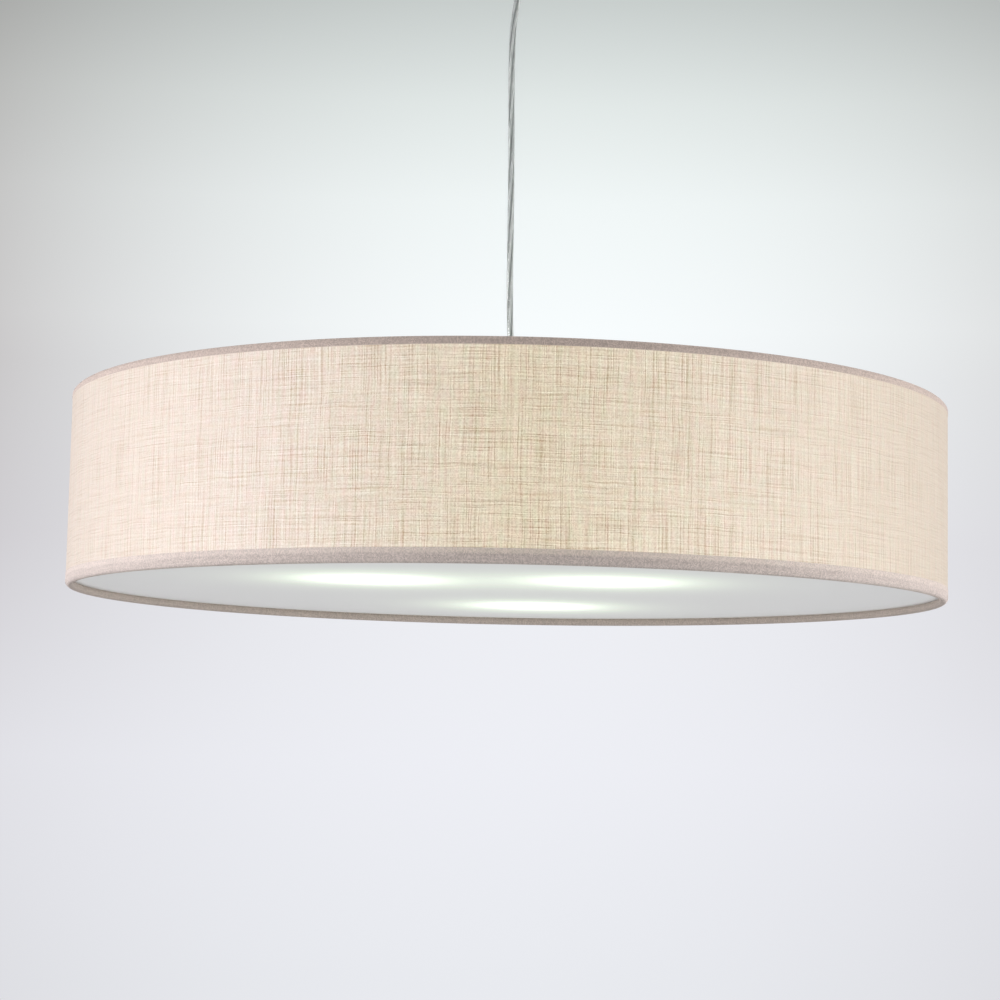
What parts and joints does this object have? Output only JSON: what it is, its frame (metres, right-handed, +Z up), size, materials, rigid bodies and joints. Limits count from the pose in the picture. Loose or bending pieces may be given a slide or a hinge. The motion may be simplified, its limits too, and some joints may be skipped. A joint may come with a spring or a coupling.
{
  "type": "drum pendant light",
  "caption": "Large flat drum pendant light with a linen shade, an opal diffuser, lamps on radial arms and a clear cord from a round ceiling canopy.",
  "frame": {"origin": "centre of the ceiling bracket's top face, which lies on the ceiling", "axes": "+Z up out of the ceiling face, +X along the bracket, the light hangs towards -Z"},
  "size_m": [0.8, 0.8, 0.628],
  "materials": {
    "shade_fabric": "natural linen with slubs, laminated to film",
    "liner_film": "matte white film",
    "opal_acrylic": "satin opal white",
    "white_metal": "satin white powder coat",
    "plated_steel": "zinc plated",
    "white_wire": "white coated wire",
    "clear_jacket": "clear jacket over twisted silver cores",
    "white_plastic": "moulded white",
    "terminal_plastic": "moulded, slightly translucent",
    "lampholder_plastic": "moulded thermoset, satin",
    "contact_brass": "bright",
    "cap_aluminium": "bright drawn",
    "opal_glass": "opal white, lit",
    "core_brown": "core insulation",
    "core_blue": "core insulation",
    "core_green": "core insulation"
  },
  "bodies": {
    "ceiling_fitting": {"ceiling_bracket": "plated_steel", "canopy_screw_left": "plated_steel", "canopy_screw_right": "plated_steel", "ceiling_terminal_block": "terminal_plastic"},
    "canopy": {"canopy": "white_metal", "canopy_grip": "white_plastic", "canopy_grip_nut": "plated_steel", "canopy_grip_screw": "plated_steel", "upper_cord_tail": "clear_jacket", "core_tail_live": "core_brown", "core_tail_neutral": "core_blue", "core_tail_earth": "core_green"},
    "upper_bend": {"cord_bend_upper": "clear_jacket"},
    "hanging_cord": {"cord": "clear_jacket"},
    "lower_bend": {"cord_bend_lower": "clear_jacket"},
    "lower_tail": {"lower_cord_tail": "clear_jacket"},
    "shade": {"hub_grip": "white_plastic", "hub_grip_screw": "plated_steel", "stem_tube": "plated_steel", "spider_plate": "plated_steel", "spider_washer": "plated_steel", "spider_nut_upper": "plated_steel", "spider_nut_lower": "plated_steel", "spider_arm_1": "white_wire", "spider_arm_2": "white_wire", "spider_arm_3": "white_wire", "top_ring": "white_wire", "bottom_ring": "white_wire", "shade_fabric": "shade_fabric", "shade_liner": "liner_film", "body_can": "white_metal", "body_cover": "white_metal", "body_nut_upper": "plated_steel", "body_nut_lower": "plated_steel", "body_terminal_block": "terminal_plastic", "body_core_live": "core_brown", "body_core_neutral": "core_blue", "body_core_earth": "core_green", "arm_tube_1": "plated_steel", "arm_tube_2": "plated_steel", "arm_tube_3": "plated_steel", "lampholder_1": "lampholder_plastic", "lampholder_2": "lampholder_plastic", "lampholder_3": "lampholder_plastic", "lampholder_insert_1": "contact_brass", "lampholder_insert_2": "contact_brass", "lampholder_insert_3": "contact_brass", "lampholder_contact_1": "contact_brass", "lampholder_contact_2": "contact_brass", "lampholder_contact_3": "contact_brass", "lampholder_lead_1": "white_plastic", "lampholder_lead_2": "white_plastic", "lampholder_lead_3": "white_plastic"},
    "diffuser": {"diffuser": "opal_acrylic"},
    "bulb_1": {"bulb_cap_1": "cap_aluminium", "bulb_globe_1": "opal_glass"},
    "bulb_2": {"bulb_cap_2": "cap_aluminium", "bulb_globe_2": "opal_glass"},
    "bulb_3": {"bulb_cap_3": "cap_aluminium", "bulb_globe_3": "opal_glass"}
  },
  "joints": [
    {"name": "canopy_drop", "type": "slide", "parent": "ceiling_fitting", "child": "canopy", "axis": [0, 0, -1], "range_m": [0, 0.045], "deforming": ["core_tail_live", "core_tail_neutral", "core_tail_earth"]},
    {"name": "swing_front_back", "type": "hinge", "parent": "canopy", "child": "upper_bend", "pos_m": [0, 0, -0.0528], "axis": [1, 0, 0], "range_deg": [-25, 25]},
    {"name": "swing_side", "type": "hinge", "parent": "upper_bend", "child": "hanging_cord", "pos_m": [0, 0, -0.0528], "axis": [0, 1, 0], "range_deg": [-25, 25]},
    {"name": "rock_front_back", "type": "hinge", "parent": "hanging_cord", "child": "lower_bend", "pos_m": [0, 0, -0.3945], "axis": [1, 0, 0], "range_deg": [-10, 10]},
    {"name": "rock_side", "type": "hinge", "parent": "lower_bend", "child": "lower_tail", "pos_m": [0, 0, -0.3945], "axis": [0, 1, 0], "range_deg": [-10, 10]},
    {"name": "shade_turn", "type": "hinge", "parent": "lower_tail", "child": "shade", "pos_m": [0, 0, -0.3945], "axis": [0, 0, 1], "range_deg": [-180, 180], "stiffness_Nm_per_rad": 0.02},
    {"name": "diffuser_lift", "type": "slide", "parent": "shade", "child": "diffuser", "axis": [0, 0, 1], "range_m": [0, 0.045]},
    {"name": "bulb_1_out", "type": "slide", "parent": "shade", "child": "bulb_1", "axis": [-0.6561, -0.7547, 0], "range_m": [0, 0.034]},
    {"name": "bulb_2_out", "type": "slide", "parent": "shade", "child": "bulb_2", "axis": [0.4695, -0.8829, 0], "range_m": [0, 0.034]},
    {"name": "bulb_3_out", "type": "slide", "parent": "shade", "child": "bulb_3", "axis": [0.1564, 0.9877, 0], "range_m": [0, 0.034]}
  ]
}
